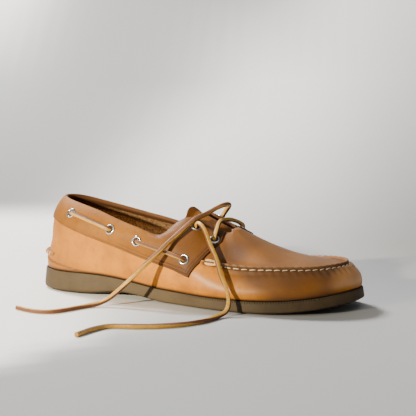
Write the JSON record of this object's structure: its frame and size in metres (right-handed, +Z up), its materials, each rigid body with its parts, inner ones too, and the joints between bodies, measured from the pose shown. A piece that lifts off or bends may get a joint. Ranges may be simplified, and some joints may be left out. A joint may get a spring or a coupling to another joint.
{
  "type": "boat shoe",
  "caption": "Right-foot leather boat shoe with a hand-sewn moccasin toe, collar laced through metal eyelets, loose lace ends and a low siped rubber sole.",
  "frame": {"origin": "on the floor, under the middle of the sole's length and width", "axes": "+X towards the toe, +Y towards the foot's inner side, +Z up"},
  "size_m": [0.3, 0.2349, 0.0851],
  "materials": {
    "tan_leather": "satin, lightly waxed",
    "band_leather": "satin, lightly waxed",
    "sole_rubber": "matte",
    "insole_leather": "matte",
    "nickel": "polished nickel plate",
    "rawhide_lace": "waxed rawhide"
  },
  "bodies": {
    "root": {"sole": "sole_rubber", "upper": "tan_leather", "collar_band": "band_leather", "insole": "insole_leather", "tongue": "tan_leather", "heel_seam": "tan_leather", "eyelet_outer_rear": "nickel", "eyelet_outer_waist": "nickel", "eyelet_outer_middle": "nickel", "eyelet_outer_front": "nickel", "eyelet_outer_upper_facing": "nickel", "eyelet_outer_lower_facing": "nickel", "eyelet_inner_rear": "nickel", "eyelet_inner_waist": "nickel", "eyelet_inner_middle": "nickel", "eyelet_inner_front": "nickel", "eyelet_inner_upper_facing": "nickel", "eyelet_inner_lower_facing": "nickel", "lace_outer_rear": "rawhide_lace", "lace_outer_front": "rawhide_lace", "lace_inner_rear": "rawhide_lace", "lace_inner_front": "rawhide_lace", "lace_throat_bar": "rawhide_lace", "lace_end_a": "rawhide_lace", "lace_end_b": "rawhide_lace"}
  },
  "joints": []
}
